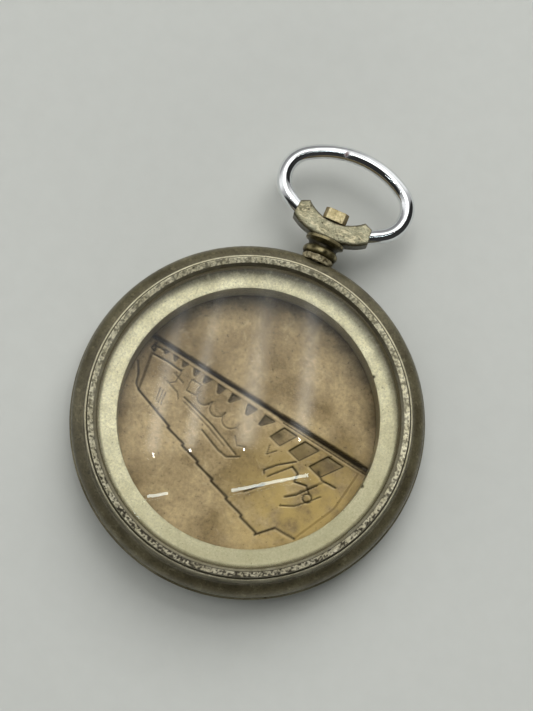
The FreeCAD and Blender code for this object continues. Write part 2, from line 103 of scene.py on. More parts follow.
NECK_LOW, NECK_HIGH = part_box("pendant_neck")
PENDANT_HEIGHT = (NECK_LOW.z + NECK_HIGH.z) / 2
STUB_RADIUS = 1.35 * MM
NECK_BORE = 1.0 * MM
NECK_COUNTERBORE = 1.17 * MM
NECK_COUNTERBORE_LENGTH = 0.4 * MM
BEAD_START = CASE_RADIUS + 0.15 * MM
BEAD_WIDTH = 1.25 * MM
BEAD_RADIUS = 2.6 * MM
BEAD_SIDE_RADIUS = 2.25 * MM
WAIST_WIDTH = 0.35 * MM
WAIST_RADIUS = 2.15 * MM
CUP_RIM = 0.45 * MM
CUP_RADIUS = NECK_HIGH.x

BOW_LOW, BOW_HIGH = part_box("bow")
BOW_WIRE_RADIUS = (BOW_HIGH.z - BOW_LOW.z) / 2
BOW_HALF_WIDTH = BOW_HIGH.x - BOW_WIRE_RADIUS
BOW_HALF_HEIGHT = 5.62 * MM
BOW_SIDE_RADIUS = 4.1 * MM
BOW_END = 3.3 * MM
BOW_CENTRE_Y = BOW_HIGH.y - BOW_WIRE_RADIUS - BOW_HALF_HEIGHT
BOW_SPOT = Vector((-2.1 * MM, BOW_HIGH.y - 1.52 * MM, PENDANT_HEIGHT + 1.0 * MM))

# How finely the meshes are divided.
CORNER_STEPS = 3
FLOOR_CELLS = 252
RING_SEGMENTS = 900
BEZEL_SEGMENTS = 1260
CRYSTAL_SEGMENTS = 288
NECK_SEGMENTS = 192
BOW_POINTS, BOW_SIDES = 260, 40


# ---- numbers that look random but are the same each run ----

def lattice(cells, seed):
    """A number from 0 to 1 for each row of whole numbers."""
    mixed = np.full(len(cells), seed * 2654435761 % 2**32, np.uint64)
    for column, prime in zip(cells.T.astype(np.int64), (73856093, 19349663, 83492791)):
        mixed = (mixed ^ (column * prime % 2**32).astype(np.uint64)) * 2246822519 % 2**32
        mixed ^= mixed >> 15
    return (mixed * 3266489917 % 2**32).astype(float) / 2**32


def unit(values):
    """The values, held between 0 and 1."""
    return np.clip(values, 0, 1)


def eased(share):
    """A share that leaves 0 and reaches 1 gently."""
    return share * share * (3 - 2 * share)


def cloud(points, scale, seed):
    """Smooth noise from 0 to 1 whose bumps are about scale across."""
    corner = np.floor(points / scale)
    share = eased(points / scale - corner)
    total = np.zeros(len(points))
    for step in np.ndindex(2, 2, 2):
        weight = np.prod(np.where(step, share, 1 - share), axis=1)
        total += weight * lattice(corner + step, seed)
    return total


def pits(points, spacing, seed, most=0.55):
    """How deep each point lies in round pits, from 0 to 1: one pit for each cell, of random size."""
    corner = np.floor(points / spacing)
    depth = np.zeros(len(points))
    for step in np.ndindex(3, 3, 3):
        cell = corner + step - 1
        centre = np.stack([lattice(cell, seed + k) for k in range(3)], 1)
        radius = most * lattice(cell, seed + 3) ** 1.5 + 0.05
        away = np.linalg.norm(points / spacing - cell - centre, axis=1) / radius
        depth = np.maximum(depth, 1 - away**2)
    return unit(depth)


# ---- mesh helpers ----

def shown(name, data):
    """A new object in the scene."""
    made = bpy.data.objects.new(name, data)
    bpy.context.scene.collection.objects.link(made)
    return made


def new_piece(name, mesh, material, body, replaces):
    """A shown piece that rides on a body, with its material, hiding the CAD node that it stands for."""
    mesh.name = name
    mesh.materials.append(material)
    piece = shown(name, mesh)
    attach(piece, body)
    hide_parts(replaces)


def arc_points(start, end, radius, side, count):
    """Points between start and end on an arc; side is 1 if it bulges to the right of that direction."""
    start, end = Vector(start), Vector(end)
    chord = end - start
    right = Vector((chord.y, -chord.x)).normalized()
    centre = (start + end) / 2 - right * side * math.sqrt(radius**2 - (chord.length / 2) ** 2)
    first = math.atan2(start.y - centre.y, start.x - centre.x)
    turn = math.atan2(end.y - centre.y, end.x - centre.x) - first
    turn = (turn + math.pi) % (2 * math.pi) - math.pi
    angles = [first + turn * k / count for k in range(1, count)]
    return [(centre.x + radius * math.cos(a), centre.y + radius * math.sin(a)) for a in angles]


def rise_radius(half_width, rise):
    """The radius of an arc that is level at its middle and rises by this much at half_width."""
    return (half_width**2 + rise**2) / (2 * rise)


def softened(corners, closed=True):
    """An outline whose corners are rounded. A corner is (x, y) or (x, y, setback)."""
    count = len(corners)
    points = []
    for i, corner in enumerate(corners):
        here = Vector(corner[:2])
        setback = corner[2] if len(corner) > 2 else 0
        if setback == 0 or not closed and i in (0, count - 1):
            points.append(tuple(here))
            continue
        before = Vector(corners[i - 1][:2]) - here
        after = Vector(corners[(i + 1) % count][:2]) - here
        first = here + before.normalized() * min(setback, before.length * 0.45)
        last = here + after.normalized() * min(setback, after.length * 0.45)
        for k in range(CORNER_STEPS + 1):
            t = k / CORNER_STEPS
            points.append(tuple(first * (1 - t) ** 2 + here * 2 * t * (1 - t) + last * t * t))
    return points


def divided(points, longest):
    """The closed outline with its long edges cut into pieces no longer than longest."""
    result = []
    for start, end in zip(points, points[1:] + points[:1]):
        start, end = Vector(start), Vector(end)
        pieces = max(1, math.ceil((end - start).length / longest))
        result += [tuple(start.lerp(end, k / pieces)) for k in range(pieces)]
    return result


def smooth_mesh(points, faces):
    """A smooth-shaded mesh with its normals outward."""
    mesh = bpy.data.meshes.new("piece")
    mesh.from_pydata([tuple(p) for p in points], [], faces)
    mesh.validate()
    work = bmesh.new()
    work.from_mesh(mesh)
    bmesh.ops.recalc_face_normals(work, faces=work.faces)
    work.to_mesh(mesh)
    work.free()
    mesh.shade_smooth()
    return mesh


def circle(radius, height, count):
    """Points round a level circle about Z."""
    angles = [2 * math.pi * k / count for k in range(count)]
    return [(radius * math.cos(a), radius * math.sin(a), height) for a in angles]


def turned(outline, segments, closed=True):
    """A mesh made by turning an outline of (radius, height) about Z. A point on the axis is a pole."""
    rings, points, faces = [], [], []
    for radius, height in outline:
        pole = radius < 1e-9
        rings.append([len(points) + (0 if pole else k) for k in range(segments)])
        points += circle(radius, height, 1 if pole else segments)
    for ring, following in zip(rings, rings[1:] + rings[:1] if closed else rings[1:]):
        for k in range(segments):
            after = (k + 1) % segments
            face = list(dict.fromkeys([ring[k], ring[after], following[after], following[k]]))
            if len(face) > 2:
                faces.append(face)
    return smooth_mesh(points, faces)


def read_points(mesh, what="co"):
    """The mesh's points as an array, or their normals."""
    values = np.zeros(len(mesh.vertices) * 3)
    mesh.vertices.foreach_get(what, values)
    return values.reshape(-1, 3)


def sink(mesh, depth):
    """Move each point in along its normal by its depth."""
    moved = read_points(mesh) - read_points(mesh, "normal") * depth[:, None]
    mesh.vertices.foreach_set("co", moved.ravel())
    mesh.update()


def mark(mesh, name, values):
    """Store a number from 0 to 1 at each point for the material to read."""
    attribute = mesh.attributes.new(name, "FLOAT", "POINT")
    attribute.data.foreach_set("value", unit(values).astype(np.float32))


def direction(turn, elevation):
    """A unit vector: turn in degrees from -Y towards +X, elevation in degrees above the table."""
    t, e = math.radians(turn), math.radians(elevation)
    return Vector((math.sin(t) * math.cos(e), -math.cos(t) * math.cos(e), math.sin(e)))


def towards(place, turn):
    """How far each point lies from the middle towards a turn."""
    return place[:, :2] @ np.array(direction(turn, 0))[:2]


def dense_copy(node, voxel, rounds):
    """A fine even mesh of a CAD node, with its sharp edges eased."""
    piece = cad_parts[node].copy()
    piece.data = piece.data.copy()
    piece.parent = None
    bpy.context.scene.collection.objects.link(piece)
    work = bmesh.new()
    work.from_mesh(piece.data)
    bmesh.ops.remove_doubles(work, verts=work.verts, dist=1e-7)
    work.to_mesh(piece.data)
    work.free()
    remesh = piece.modifiers.new("remesh", "REMESH")
    remesh.mode = "VOXEL"
    remesh.voxel_size = voxel
    ease = piece.modifiers.new("ease", "SMOOTH")
    ease.iterations = rounds
    bpy.context.view_layer.update()
    mesh = bpy.data.meshes.new_from_object(piece.evaluated_get(bpy.context.evaluated_depsgraph_get()))
    bpy.data.objects.remove(piece)
    mesh.materials.clear()
    mesh.shade_smooth()
    return mesh


# ---- material helpers ----

def linear(red, green, blue):
    """A screen colour, 0 to 255, as the shader's own linear colour."""
    shares = [c / 255 for c in (red, green, blue)]
    return tuple(s / 12.92 if s <= 0.04045 else ((s + 0.055) / 1.055) ** 2.4 for s in shares) + (1,)


class Nodes:
    """A node tree, with short names for the nodes that the materials and the world here use."""

    def __init__(self, tree):
        self.tree = tree

    def node(self, kind, **settings):
        made = self.tree.nodes.new("ShaderNode" + kind)
        for key, value in settings.items():
            setattr(made, key, value)
        return made

    def link(self, source, socket):
        self.tree.links.new(source, socket)

    def feed(self, socket, value):
        """Link a socket, or set it to a number, a screen colour or a linear colour with alpha."""
        if isinstance(value, bpy.types.NodeSocket):
            self.link(value, socket)
        else:
            screen = isinstance(value, tuple) and len(value) == 3
            socket.default_value = linear(*value) if screen else value

    def wired(self, kind, *values, **settings):
        """The first output of a new node whose first inputs take these values."""
        made = self.node(kind, **settings)
        for socket, value in zip(made.inputs, values):
            self.feed(socket, value)
        return made.outputs[0]

    def spread(self, source, start, end, low=0.0, high=1.0, smooth=False):
        """source from start to end, stretched to run from low to high."""
        kind = "SMOOTHSTEP" if smooth else "LINEAR"
        return self.wired("MapRange", source, start, end, low, high, interpolation_type=kind)

    def maths(self, operation, first, second=0.0):
        return self.wired("Math", first, second, operation=operation)

    def dot(self, source, vector):
        """How far a direction points along a vector."""
        made = self.node("VectorMath", operation="DOT_PRODUCT")
        made.inputs[1].default_value = vector
        self.link(source, made.inputs[0])
        return made.outputs["Value"]

    def mix(self, share, first, second, blend="MIX"):
        """Two colours mixed by a share."""
        made = self.node("Mix", data_type="RGBA", blend_type=blend)
        for number, value in ((0, share), (6, first), (7, second)):
            self.feed(made.inputs[number], value)
        return made.outputs[2]


class Shader(Nodes):
    """A material made round one Principled shader."""

    def __init__(self, name, **values):
        self.material = bpy.data.materials.new(name)
        self.material.use_nodes = True
        super().__init__(self.material.node_tree)
        self.surface = self.tree.nodes["Principled BSDF"]
        self.place = self.node("TexCoord").outputs["Object"]
        self.normal = None
        for socket, value in values.items():
            self.surface.inputs[socket.replace("_", " ")].default_value = value

    def put(self, socket, source):
        self.link(source, self.surface.inputs[socket])

    def noise(self, size, detail=3.0, roughness=0.55, stretch=None, distortion=0.0):
        """Noise whose features are about size metres across."""
        made = self.node("TexNoise")
        made.inputs["Scale"].default_value = 1 / size
        made.inputs["Detail"].default_value = detail
        made.inputs["Roughness"].default_value = roughness
        made.inputs["Distortion"].default_value = distortion
        source = self.place
        if stretch:
            mapping = self.node("Mapping")
            mapping.inputs["Scale"].default_value = stretch
            self.link(source, mapping.inputs["Vector"])
            source = mapping.outputs["Vector"]
        self.link(source, made.inputs["Vector"])
        return made.outputs["Fac"]

    def patches(self, start, end, *size, **shape):
        """Noise stretched so that start to end runs from 0 to 1."""
        return self.spread(self.noise(*size, **shape), start, end)

    def attribute(self, name):
        return self.node("Attribute", attribute_name=name).outputs["Fac"]

    def broken(self, name, *patches):
        """An attribute broken up into patches."""
        return self.maths("MULTIPLY", self.attribute(name), self.patches(*patches))

    def stain(self, colour, tint, mask, strength=1.0):
        """The colour with a tint over it where the mask is: a socket or an attribute's name."""
        mask = self.attribute(mask) if isinstance(mask, str) else mask
        return self.mix(self.maths("MULTIPLY", mask, strength), colour, tint)

    def bump(self, height, depth):
        """Raise the surface by height times depth metres, on top of the bumps so far."""
        made = self.node("Bump")
        made.inputs["Distance"].default_value = depth
        self.link(height, made.inputs["Height"])
        if self.normal:
            self.link(self.normal, made.inputs["Normal"])
        self.normal = made.outputs["Normal"]
        self.put("Normal", self.normal)

    def finished(self, colour):
        """The material, with this colour on its surface."""
        self.put("Base Color", colour)
        return self.material


def metal(name, bright, dull, deep, cloud_size, grain, roughness, metallic, bump=0.01 * MM):
    """Tarnished metal: cloudy patches from bright to dull, specks of deep tarnish and a fine grain."""
    shader = Shader(name, Metallic=metallic)
    fine = shader.noise(grain, 4, 0.65)
    colour = shader.mix(shader.patches(0.36, 0.64, cloud_size, 5, 0.6), bright, dull)
    colour = shader.stain(colour, deep, shader.spread(fine, 0.58, 0.72), 0.7)
    shade = shader.spread(shader.noise(0.6 * grain, 2), 0.3, 0.7, 0.8, 1.18)
    shader.put("Roughness", shader.spread(fine, 0.3, 0.7, *roughness))
    shader.bump(fine, bump)
    return shader, shader.mix(1.0, colour, shade, "MULTIPLY")


# ---- materials ----

def shoulder_material():
    """Dark olive tarnish on the mid-case, worn lighter in patches and stained brown in others."""
    shader, colour = metal(
        "case_tarnish", (98, 92, 69), (75, 69, 49), (42, 37, 25), 4 * MM, 0.5 * MM, (0.28, 0.46), 0.28,
    )
    brown = shader.patches(0.60, 0.70, 2.2 * MM, 5, 0.65, distortion=0.6)
    colour = shader.stain(colour, (138, 131, 103), shader.patches(0.56, 0.66, 1.2 * MM, 6, 0.7), 0.4)
    return shader.finished(shader.stain(colour, (52, 44, 28), brown, 0.45))


def back_material():
    """The back's outside and rim, tarnished like the mid-case, and its stained brassy inner floor, with
    painted shade under the ring's edge and in the relief's lines, and painted highlights beside those lines.
    """
    shader, colour = metal(
        "back_nickel", (120, 114, 90), (88, 82, 60), (48, 42, 28), 5 * MM, 0.5 * MM, (0.26, 0.44), 0.5,
    )
    wide = shader.patches(0.40, 0.60, 8 * MM, 4, 0.5, distortion=0.5)
    near = shader.patches(0.38, 0.64, 2.1 * MM, 5, 0.62, distortion=0.8)
    mottle = shader.spread(shader.noise(0.5 * MM, 4, 0.7), 0.36, 0.64, 0.80, 1.18)
    pale = shader.patches(0.58, 0.68, 3.2 * MM, 6, 0.72, distortion=1.2)
    floor = shader.mix(wide, (188, 166, 128), (138, 118, 83))
    floor = shader.stain(floor, (116, 98, 69), near, 0.42)
    floor = shader.mix(1.0, floor, mottle, "MULTIPLY")
    floor = shader.stain(floor, (210, 192, 158), pale, 0.4)
    floor = shader.stain(floor, (86, 68, 44), shader.patches(0.66, 0.72, 0.8 * MM, 3, 0.6), 0.4)
    floor = shader.stain(floor, (186, 160, 98), shader.broken("gold", 0.34, 0.56, 2.6 * MM, 5), 0.8)
    # Painted highlight beside the relief's lines.
    floor = shader.stain(floor, (212, 192, 154), "painted_highlight", 0.5)
    # Painted shade under the ring's edge, broken into patches.
    floor = shader.stain(floor, (54, 49, 37), shader.broken("grime_and_shade", 0.2, 0.5, 1.8 * MM, 4), 0.88)
    shader.bump(shader.noise(1.4 * MM, 4, 0.6), 0.06 * MM)
    return shader.finished(shader.stain(shader.stain(colour, floor, "inside"), (32, 26, 17), "groove"))


def ring_material():
    """Pale satin plating on the movement ring, with grime by the bezel and painted shade on its inner wall,
    under the bezel's far side and towards the near side.
    """
    shader, colour = metal(
        "ring_satin", (244, 238, 206), (226, 219, 184), (160, 150, 118), 2.2 * MM, 0.42 * MM,
        (0.26, 0.42), 0.38, 0.012 * MM,
    )
    smudge = shader.maths("MULTIPLY", shader.patches(0.42, 0.62, 5 * MM, 5, 0.6, distortion=0.5), 0.3)
    # The darker tint is random smudges and painted shade towards the near side.
    colour = shader.stain(colour, (164, 158, 126), shader.maths("MAXIMUM", smudge, shader.attribute("stain")))
    # Grime at the rim and painted shade on the inner wall and under the bezel's far side.
    return shader.finished(shader.stain(colour, (56, 50, 35), shader.broken("grime_and_shade", 0.1, 0.45, 0.7 * MM, 4)))


def bezel_material():
    """Worn nickel on the bezel: bright on the band, dark in its pits and its groove, with painted shade down
    its flank, on its inner wall and towards the near side.
    """
    shader, colour = metal(
        "bezel_nickel", (244, 237, 206), (210, 202, 168), (84, 74, 48), 1.6 * MM, 0.3 * MM,
        (0.26, 0.46), 0.45,
    )
    colour = shader.stain(colour, (44, 38, 23), "tarnish")
    return shader.finished(shader.stain(colour, (222, 214, 180), "rubbed"))


def chrome_material():
    """Bright plating on the bow, with faint smears and one reddish spot where it is worn through."""
    shader = Shader("bow_chrome")
    smear = shader.noise(1.5 * MM, 5, 0.6)
    spot = shader.attribute("spot")
    colour = shader.mix(shader.spread(smear, 0.4, 0.7), (236, 238, 240), (222, 224, 226))
    gloss = shader.spread(smear, 0.3, 0.7, 0.03, 0.09)
    shader.put("Metallic", shader.spread(spot, 0, 1, 1.0, 0.1))
    shader.put("Roughness", shader.maths("ADD", gloss, shader.maths("MULTIPLY", spot, 0.6)))
    shader.bump(shader.noise(0.4 * MM, 3), 0.002 * MM)
    return shader.finished(shader.stain(colour, (86, 22, 17), spot))


def saddle_material():
    """Worn nickel silver on the saddle: grey, with pale rubbed streaks, dark pits and painted shade down its
    sides.
    """
    shader, colour = metal(
        "saddle_nickel", (172, 169, 142), (122, 118, 92), (58, 50, 32), 2.6 * MM, 0.34 * MM,
        (0.24, 0.44), 0.6,
    )
    rubbed = shader.patches(0.5, 0.6, 1.5 * MM, 6, 0.75, distortion=1.2, stretch=(1, 2.6, 1))
    colour = shader.stain(colour, (218, 206, 170), rubbed, 0.7)
    return shader.finished(shader.stain(colour, (52, 44, 28), "tarnish", 0.9))


def post_material():
    """Brassy pitted metal on the square head, dark in its pits and with painted shade down its sides."""
    shader, colour = metal(
        "post_brass", (214, 200, 156), (168, 152, 108), (78, 66, 40), 0.8 * MM, 0.3 * MM, (0.3, 0.5), 0.5,
    )
    return shader.finished(shader.stain(colour, (84, 66, 36), "tarnish", 0.9))


def neck_material():
    """Deeply tarnished brass-brown on the neck, rubbed brighter along its edges."""
    shader, colour = metal(
        "neck_brown", (92, 84, 52), (58, 52, 29), (28, 24, 13), 1.1 * MM, 0.3 * MM, (0.22, 0.42), 0.7,
    )
    colour = shader.stain(colour, (28, 23, 12), "tarnish")
    return shader.finished(shader.stain(colour, (172, 160, 120), "rubbed"))


def solder_material():
    """Rough pale solder with dark crust between its lumps."""
    shader, colour = metal(
        "solder_crust", (200, 190, 156), (150, 138, 104), (54, 44, 26), 0.6 * MM, 0.26 * MM,
        (0.35, 0.6), 0.45, 0.04 * MM,
    )
    return shader.finished(shader.stain(colour, (50, 40, 24), "tarnish"))


def crystal_material():
    """Clear plastic with faint hairline scratches and painted shade round its rim, a dull brown sheet mixed
    over it. Lamps shine straight through it, and its inner face mirrors less than its outer one.
    """
    shader = Shader("crystal_clear", IOR=1.49, Transmission_Weight=1.0, Base_Color=(0.97, 0.97, 0.95, 1))
    scratches = shader.noise(0.5 * MM, 2, 0.5, stretch=(1, 14, 1))
    mirrored = shader.mix(shader.attribute("inner"), (0.8, 0.8, 0.8, 1), (0.06, 0.06, 0.06, 1))
    shader.put("Roughness", shader.spread(scratches, 0.66, 0.72, 0.0, 0.03))
    shader.put("Specular Tint", mirrored)
    # A dull brown diffuse sheet mixed over the rim: painted shade.
    plastic, grime_and_shade = shader.surface.outputs["BSDF"], shader.wired("BsdfDiffuse", (84, 77, 56))
    rim_shaded = shader.wired("MixShader", shader.attribute("rim"), plastic, grime_and_shade)
    clear = shader.wired("BsdfTransparent", (0.93, 0.93, 0.9, 1))
    path = shader.node("LightPath")
    passed = shader.maths("MAXIMUM", path.outputs["Is Shadow Ray"], path.outputs["Is Diffuse Ray"])
    seen = shader.wired("MixShader", passed, rim_shaded, clear)
    shader.link(seen, shader.tree.nodes["Material Output"].inputs["Surface"])
    return shader.material


def table_material():
    """The pale table, with the faintest grain."""
    shader = Shader("table_top", Roughness=0.7, Specular_IOR_Level=0.25)
    grain = shader.patches(0.35, 0.65, 3 * MM, 4, 0.6)
    return shader.finished(shader.mix(grain, (193, 195, 190), (195, 197, 192)))


# ---- the back's relief: a generic train seen in perspective, pressed into the floor ----

ROOF_FAR, ROOF_NEAR = np.array((-17.4, 6.15)) * MM, np.array((18.7, 0.33)) * MM
SKIRT_FAR, SKIRT_NEAR = np.array((-15.9, -1.9)) * MM, np.array((7.2, -13.9)) * MM
WINDOWS, BLOCK_WINDOWS = 12, 3
WINDOW_GROWTH = 1.1
SKIRT_STEPS = 6
# How far the painted highlight lies from the relief's dark lines.
PAINTED_HIGHLIGHT_STEP = np.array((0.14, 0.24)) * MM
GOLD_PLACE = np.array((12, -8)) * MM
GOLD_REACH = 9 * MM


def side(along, down):
    """A place on the train's side: along from its far end to its near one, down from roof to skirt."""
    roof = ROOF_FAR + (ROOF_NEAR - ROOF_FAR) * along
    skirt = SKIRT_FAR + (SKIRT_NEAR - SKIRT_FAR) * along
    return roof + (skirt - roof) * down


def on_side(*places):
    """A route over places on the train's side."""
    return [side(along, down) for along, down in places]


def on_floor(*shares):
    """A route over the floor, in shares of the relief's radius."""
    return [np.array(share) * RELIEF_RADIUS for share in shares]


def from_line(plane, start, end):
    """Distance of each point of the plane from a straight stretch."""
    start, end = np.asarray(start), np.asarray(end)
    run = end - start
    share = unit(((plane - start) @ run) / (run @ run))
    return np.linalg.norm(plane - start - share[:, None] * run, axis=1)


def from_route(plane, points, closed=False):
    """Distance of each point of the plane from a route of straight stretches."""
    ends = list(points) + ([points[0]] if closed else [])
    return np.min([from_line(plane, a, b) for a, b in zip(ends, ends[1:])], axis=0)


def within(plane, points):
    """True for each point of the plane inside a closed outline."""
    inside = np.zeros(len(plane), bool)
    for (x0, y0), (x1, y1) in zip(points, list(points[1:]) + [points[0]]):
        crosses = (y0 > plane[:, 1]) != (y1 > plane[:, 1])
        with np.errstate(divide="ignore", invalid="ignore"):
            edge = (x1 - x0) * (plane[:, 1] - y0) / (y1 - y0) + x0
        inside ^= crosses & (plane[:, 0] < edge)
    return inside


def bend(centre, radius, start, end, count=14):
    """A route along part of a circle, angles in degrees."""
    turns = np.radians(np.linspace(start, end, count))
    return [np.asarray(centre) + radius * np.array((math.cos(t), math.sin(t))) for t in turns]


def step_down(plane, outline, slope):
    """0 outside a closed outline and 1 well inside it, with a slope half inside and half outside."""
    away = from_route(plane, outline, True)
    return eased(unit(np.where(within(plane, outline), away, -away) / slope + 0.5))


def body_outline():
    """The train's whole outline."""
    return on_floor(
        (-0.93, 0.33), (-0.90, -0.10), (-0.56, -0.28), (0.06, -0.61), (0.22, -0.68), (0.41, -0.785),
        (0.53, -0.68), (0.70, -0.70), (0.90, -0.36), (0.98, 0.03),
    )


def window_places():
    """Each window's corners: tiny wedges at the far end, then larger ones, then blocks at the near end."""
    widths = [WINDOW_GROWTH**k for k in range(WINDOWS)]
    start, top = 0.06, 0.085
    for number, width in enumerate(widths):
        share = width / sum(widths) * 0.88
        left, right = start + share * 0.2, start + share * 0.72
        start += share
        foot = 0.15 + 0.0075 * number
        if number < WINDOWS - BLOCK_WINDOWS:
            tip = left + (right - left) * (0.35 + 0.3 * (number % 2))
            yield on_side((left, top), (right, top), (tip + share * 0.06, foot), (tip - share * 0.06, foot))
        else:
            yield on_side((left, top), (right + 0.01, top), (right, foot + 0.05), (left - 0.006, foot + 0.03))


def undercarriage_routes():
    """The lines low on the train's side: boxes, hangers, tanks and the long pipes."""
    thin, fine, deep, shallow, faint = 0.26, 0.22, 0.09, 0.07, 0.06
    routes = [
        (on_side((0.17, 0.2), (0.17, 0.42), (0.145, 0.5)), fine, shallow, 0.5),
        (on_side((0.145, 0.32), (0.2, 0.36)), fine, shallow, 0.5),
        (on_side((0.13, 0.5), (0.2, 0.53), (0.22, 0.6)), fine, shallow, 0.5),
        (on_side((0.225, 0.24), (0.27, 0.23), (0.275, 0.4), (0.23, 0.42), (0.225, 0.24)), fine, shallow, 0.5),
        (on_side((0.24, 0.52), (0.42, 0.56), (0.6, 0.63)), thin, deep, 0.6),
        (on_side((0.25, 0.57), (0.42, 0.61), (0.53, 0.65)), fine, faint, 0.4),
        (on_side((0.4, 0.69), (0.53, 0.73), (0.58, 0.72), (0.62, 0.62)), thin, deep, 0.6),
        (on_side((0.53, 0.48), (0.57, 0.55), (0.6, 0.5)), fine, faint, 0.45),
        (on_side((0.66, 0.32), (0.685, 0.42), (0.7, 0.33)), fine, faint, 0.5),
    ]
    for k in range(3):
        at = 0.115 + 0.017 * k
        routes.append((on_side((at, 0.66), (at + 0.006, 0.86)), fine, shallow, 0.55))
        centre = side(0.315 + 0.075 * k, 0.34 + 0.01 * k)
        routes.append((bend(centre, (1.1 + 0.1 * k) * MM, 150, 350), fine, shallow, 0.45))
    return routes


def front_routes():
    """The lines at the near end: lamps, buffers, steps and the screen's frame."""
    return [
        (on_side((0.79, 0.3), (0.755, 0.44), (0.74, 0.56), (0.755, 0.58)), 0.28, 0.1, 0.65),
        (on_side((0.775, 0.58), (0.8, 0.36)), 0.28, 0.1, 0.55),
        (on_side((0.8, 0.66), (0.775, 0.84)), 0.28, 0.09, 0.65),
        (on_side((0.815, 0.66), (0.79, 0.84)), 0.2, -0.06, 0.0),
        (on_side((0.8, 0.36), (0.84, 0.38), (0.865, 0.46), (0.91, 0.42), (0.95, 0.46)), 0.34, 0.12, 0.75),
        (on_side((0.88, 0.25), (0.925, 0.3), (0.985, 0.28)), 0.3, 0.1, 0.7),
        (on_side((0.93, 0.3), (0.915, 0.52), (0.9, 0.6)), 0.42, -0.08, 0.2),
        (on_side((0.935, 0.36), (0.925, 0.54), (0.905, 0.62)), 0.24, 0.1, 0.7),
        (bend(side(0.965, 0.5), 0.62 * MM, 0, 360, 20), 0.26, 0.12, 0.75),
        (on_side((0.99, 0.42), (0.97, 0.62), (0.93, 0.7)), 0.24, 0.08, 0.5),
    ]


def relief_routes():
    """The relief's lines: (route, width, depth, how dark). A negative depth stands up. The lists give
    width and depth in millimetres.
    """
    roof_and_cab = [
        (on_side((0, 0), (0.62, 0)), 0.8, 0.26, 0.95),
        (on_side((0.6, 0), (1, 0)), 0.95, 0.26, 0.6),
        (on_side((0.6, -0.022), (1, -0.018)), 0.24, 0.05, 0.9),
        (on_side((0.62, 0.045), (1, 0.035)), 0.24, 0.05, 0.9),
        (on_side((0.01, 0.07), (0.99, 0.055)), 0.2, -0.07, 0.0),
        (on_side((0.03, 0.07), (0.012, 0.2), (0.028, 0.22), (0.03, 0.12), (0.07, 0.11)), 0.28, 0.1, 0.7),
        (on_floor((-1.0, 0.11), (-0.955, 0.02), (-0.94, -0.06), (-0.90, -0.10)), 0.3, 0.08, 0.7),
        (on_side((0.03, 0.27), (0.1, 0.235), (0.17, 0.235)), 0.3, 0.09, 0.7),
    ]
    rows = roof_and_cab + undercarriage_routes() + front_routes()
    return [(route, width * MM, depth * MM, dark) for route, width, depth, dark in rows]


def skirt_line(outline):
    """The skirt's lower edge with a few shallow steps in it, and the line on to the near end."""
    far, near = outline[2], outline[5]
    points = [outline[1]]
    for k in range(SKIRT_STEPS + 1):
        at = far + (near - far) * (k / SKIRT_STEPS)
        points += [at + np.array((0.0, 0.16)) * MM, at - np.array((0.1, 0.16)) * MM]
    return points + outline[5:8]


def relief_sunk(plane):
    """How far each point of the floor is pressed down, and how dark it is painted there: tarnish and painted
    shade along the relief's lines and window rims, and dark window panes.
    """
    outline = body_outline()
    edge = unit(1.25 - from_route(plane, skirt_line(outline)) / (0.22 * MM))
    depth = RELIEF_DEPTH * step_down(plane, outline, 0.3 * MM) + 0.05 * MM * edge
    dark = 0.95 * edge
    for route, width, deep, shade in relief_routes():
        share = eased(unit(1.2 - from_route(plane, route) / (width / 2)))
        depth += deep * share
        dark = np.maximum(dark, min(1.5 * shade, 0.95) * share)
    places = np.column_stack([plane, np.zeros(len(plane))])
    for number, corners in enumerate(window_places()):
        pane = step_down(plane, corners, 0.2 * MM)
        rim = unit(1.1 - from_route(plane, corners, True) / (0.16 * MM))
        depth += 0.11 * MM * pane
        shade = 0.7
        if number >= WINDOWS - BLOCK_WINDOWS:
            shade = 0.35 + 0.7 * unit(cloud(places, 1.2 * MM, 70 + number) - 0.4)
        dark = np.maximum.reduce([dark, shade * pane, (0.6 + 0.035 * number) * rim])
    return depth, dark


def disc_grid(radius, cells):
    """A square grid laid on a disc: its places and faces, and the rim's numbers in order of angle."""
    steps = np.linspace(-1, 1, cells + 1)
    b, a = (grid.ravel() for grid in np.meshgrid(steps, steps, indexing="ij"))
    wide = np.abs(a) >= np.abs(b)
    with np.errstate(divide="ignore", invalid="ignore"):
        across, upward = np.nan_to_num(b / a), np.nan_to_num(a / b)
    angle = np.where(wide, math.pi / 4 * across, math.pi / 2 - math.pi / 4 * upward)
    reach = np.where(wide, a, b) * radius
    places = np.stack([reach * np.cos(angle), reach * np.sin(angle)], 1)
    row = cells + 1
    corners = [i * row + j for i in range(cells) for j in range(cells)]
    faces = [(n, n + 1, n + 1 + row, n + row) for n in corners]
    rim = np.flatnonzero(np.maximum(np.abs(a), np.abs(b)) > 1 - 1e-9)
    turn = np.arctan2(places[rim, 1], places[rim, 0]) % (2 * math.pi)
    turn = np.where(turn > 2 * math.pi - 1e-6, 0, turn)
    return places, faces, [int(n) for n in rim[np.argsort(turn)]]


def bridged(rings):
    """Faces between rings of points. A ring may have half as many points as the one before it."""
    faces = []
    for ring, following in zip(rings, rings[1:]):
        count = len(following)
        for k in range(count):
            after = (k + 1) % count
            if len(ring) == count:
                faces.append((ring[k], ring[after], following[after], following[k]))
                continue
            start, middle, end = ring[2 * k], ring[2 * k + 1], ring[(2 * k + 2) % len(ring)]
            faces += [(following[k], start, middle), (following[k], middle, following[after])]
            faces.append((following[after], middle, end))
    return faces


